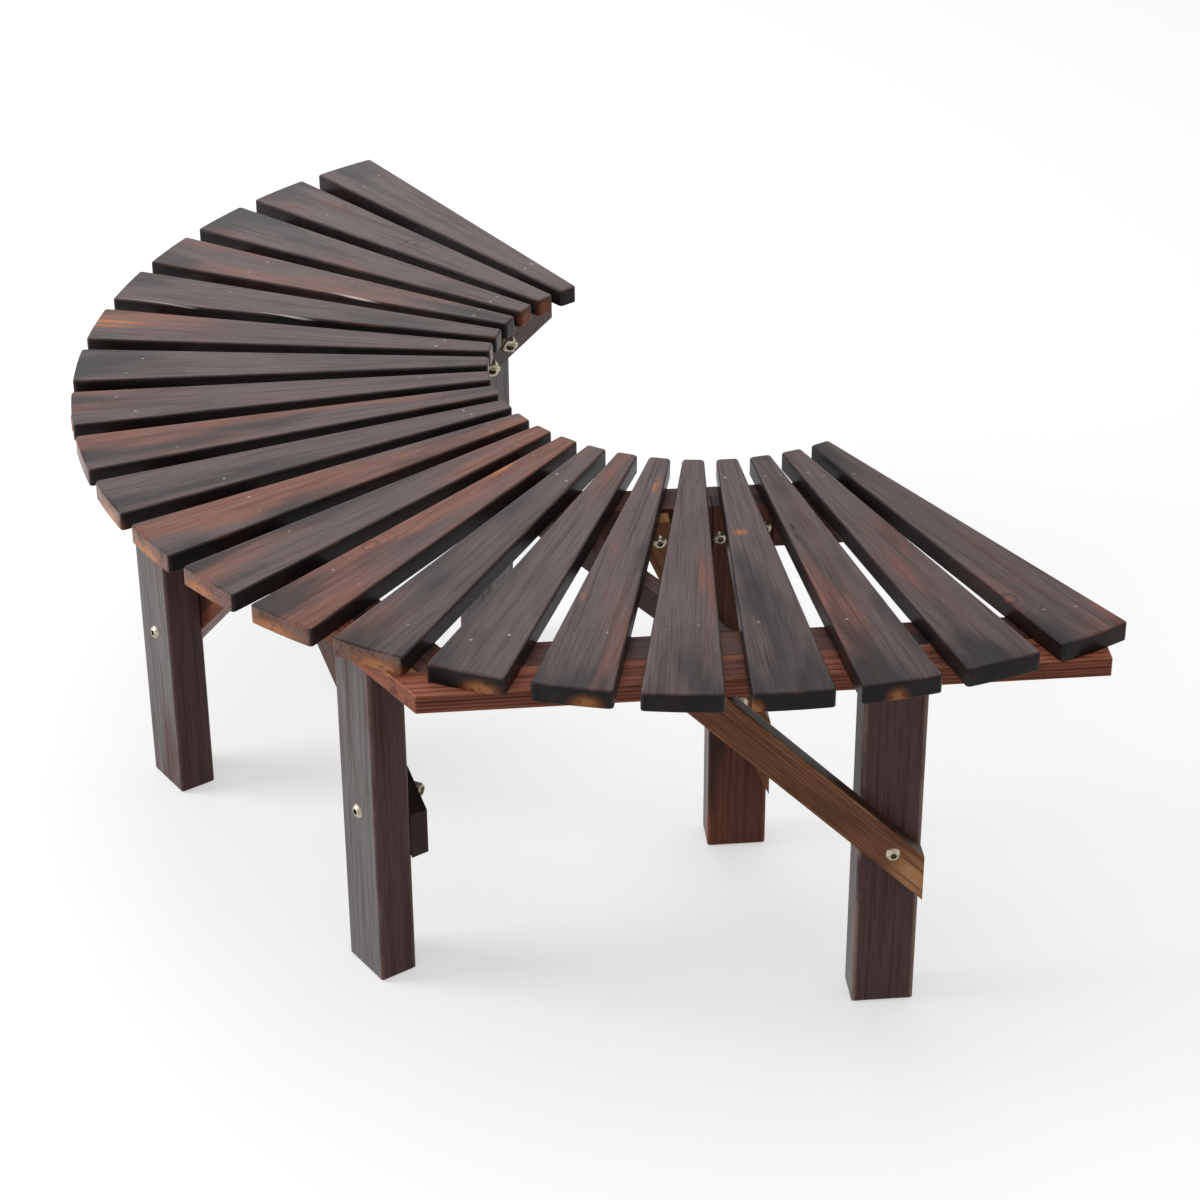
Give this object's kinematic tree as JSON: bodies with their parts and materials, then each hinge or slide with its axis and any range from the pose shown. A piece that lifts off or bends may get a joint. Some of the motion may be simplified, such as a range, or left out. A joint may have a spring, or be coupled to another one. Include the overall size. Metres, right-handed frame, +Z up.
{
  "type": "tree bench",
  "caption": "Half-round wooden bench that wraps a tree trunk, with tapered radial slats on a mitred three-section frame, straight legs and bolted knee braces.",
  "frame": {"origin": "on the floor at the middle of the bench's footprint", "axes": "+Z up, +X along the straight open side, +Y from the rounded front towards the open side that faces the tree"},
  "size_m": [1.3322, 0.6594, 0.425],
  "materials": {
    "slat_wood": "carbonised softwood, brushed and oiled",
    "frame_wood": "carbonised softwood, planed",
    "rail_wood": "carbonised softwood, rough sawn",
    "brace_wood": "lightly toasted softwood, planed",
    "zinc_steel": "yellow zinc plated"
  },
  "bodies": {
    "root": {"brace_bolts": "zinc_steel", "brace_inner_left": "brace_wood", "brace_inner_right": "brace_wood", "brace_middle_left": "brace_wood", "brace_middle_right": "brace_wood", "brace_nuts": "zinc_steel", "brace_outer_left": "brace_wood", "brace_outer_right": "brace_wood", "brace_washers": "zinc_steel", "inner_beam_left": "frame_wood", "inner_beam_middle": "frame_wood", "inner_beam_right": "frame_wood", "inner_lap_bolts": "zinc_steel", "inner_lap_nuts": "zinc_steel", "inner_lap_washers": "zinc_steel", "inner_leg_left": "frame_wood", "inner_leg_right": "frame_wood", "outer_beam_left": "frame_wood", "outer_beam_middle": "frame_wood", "outer_beam_right": "frame_wood", "outer_leg_left": "frame_wood", "outer_leg_middle_left": "frame_wood", "outer_leg_middle_right": "frame_wood", "outer_leg_right": "frame_wood", "outer_rail_left": "rail_wood", "outer_rail_middle": "rail_wood", "outer_rail_right": "rail_wood", "slat_01": "slat_wood", "slat_02": "slat_wood", "slat_03": "slat_wood", "slat_04": "slat_wood", "slat_05": "slat_wood", "slat_06": "slat_wood", "slat_07": "slat_wood", "slat_08": "slat_wood", "slat_09": "slat_wood", "slat_10": "slat_wood", "slat_11": "slat_wood", "slat_12": "slat_wood", "slat_13": "slat_wood", "slat_14": "slat_wood", "slat_15": "slat_wood", "slat_16": "slat_wood", "slat_17": "slat_wood", "slat_18": "slat_wood", "slat_19": "slat_wood", "slat_20": "slat_wood", "slat_21": "slat_wood", "tie_board_left": "brace_wood", "tie_board_right": "brace_wood"}
  },
  "joints": []
}
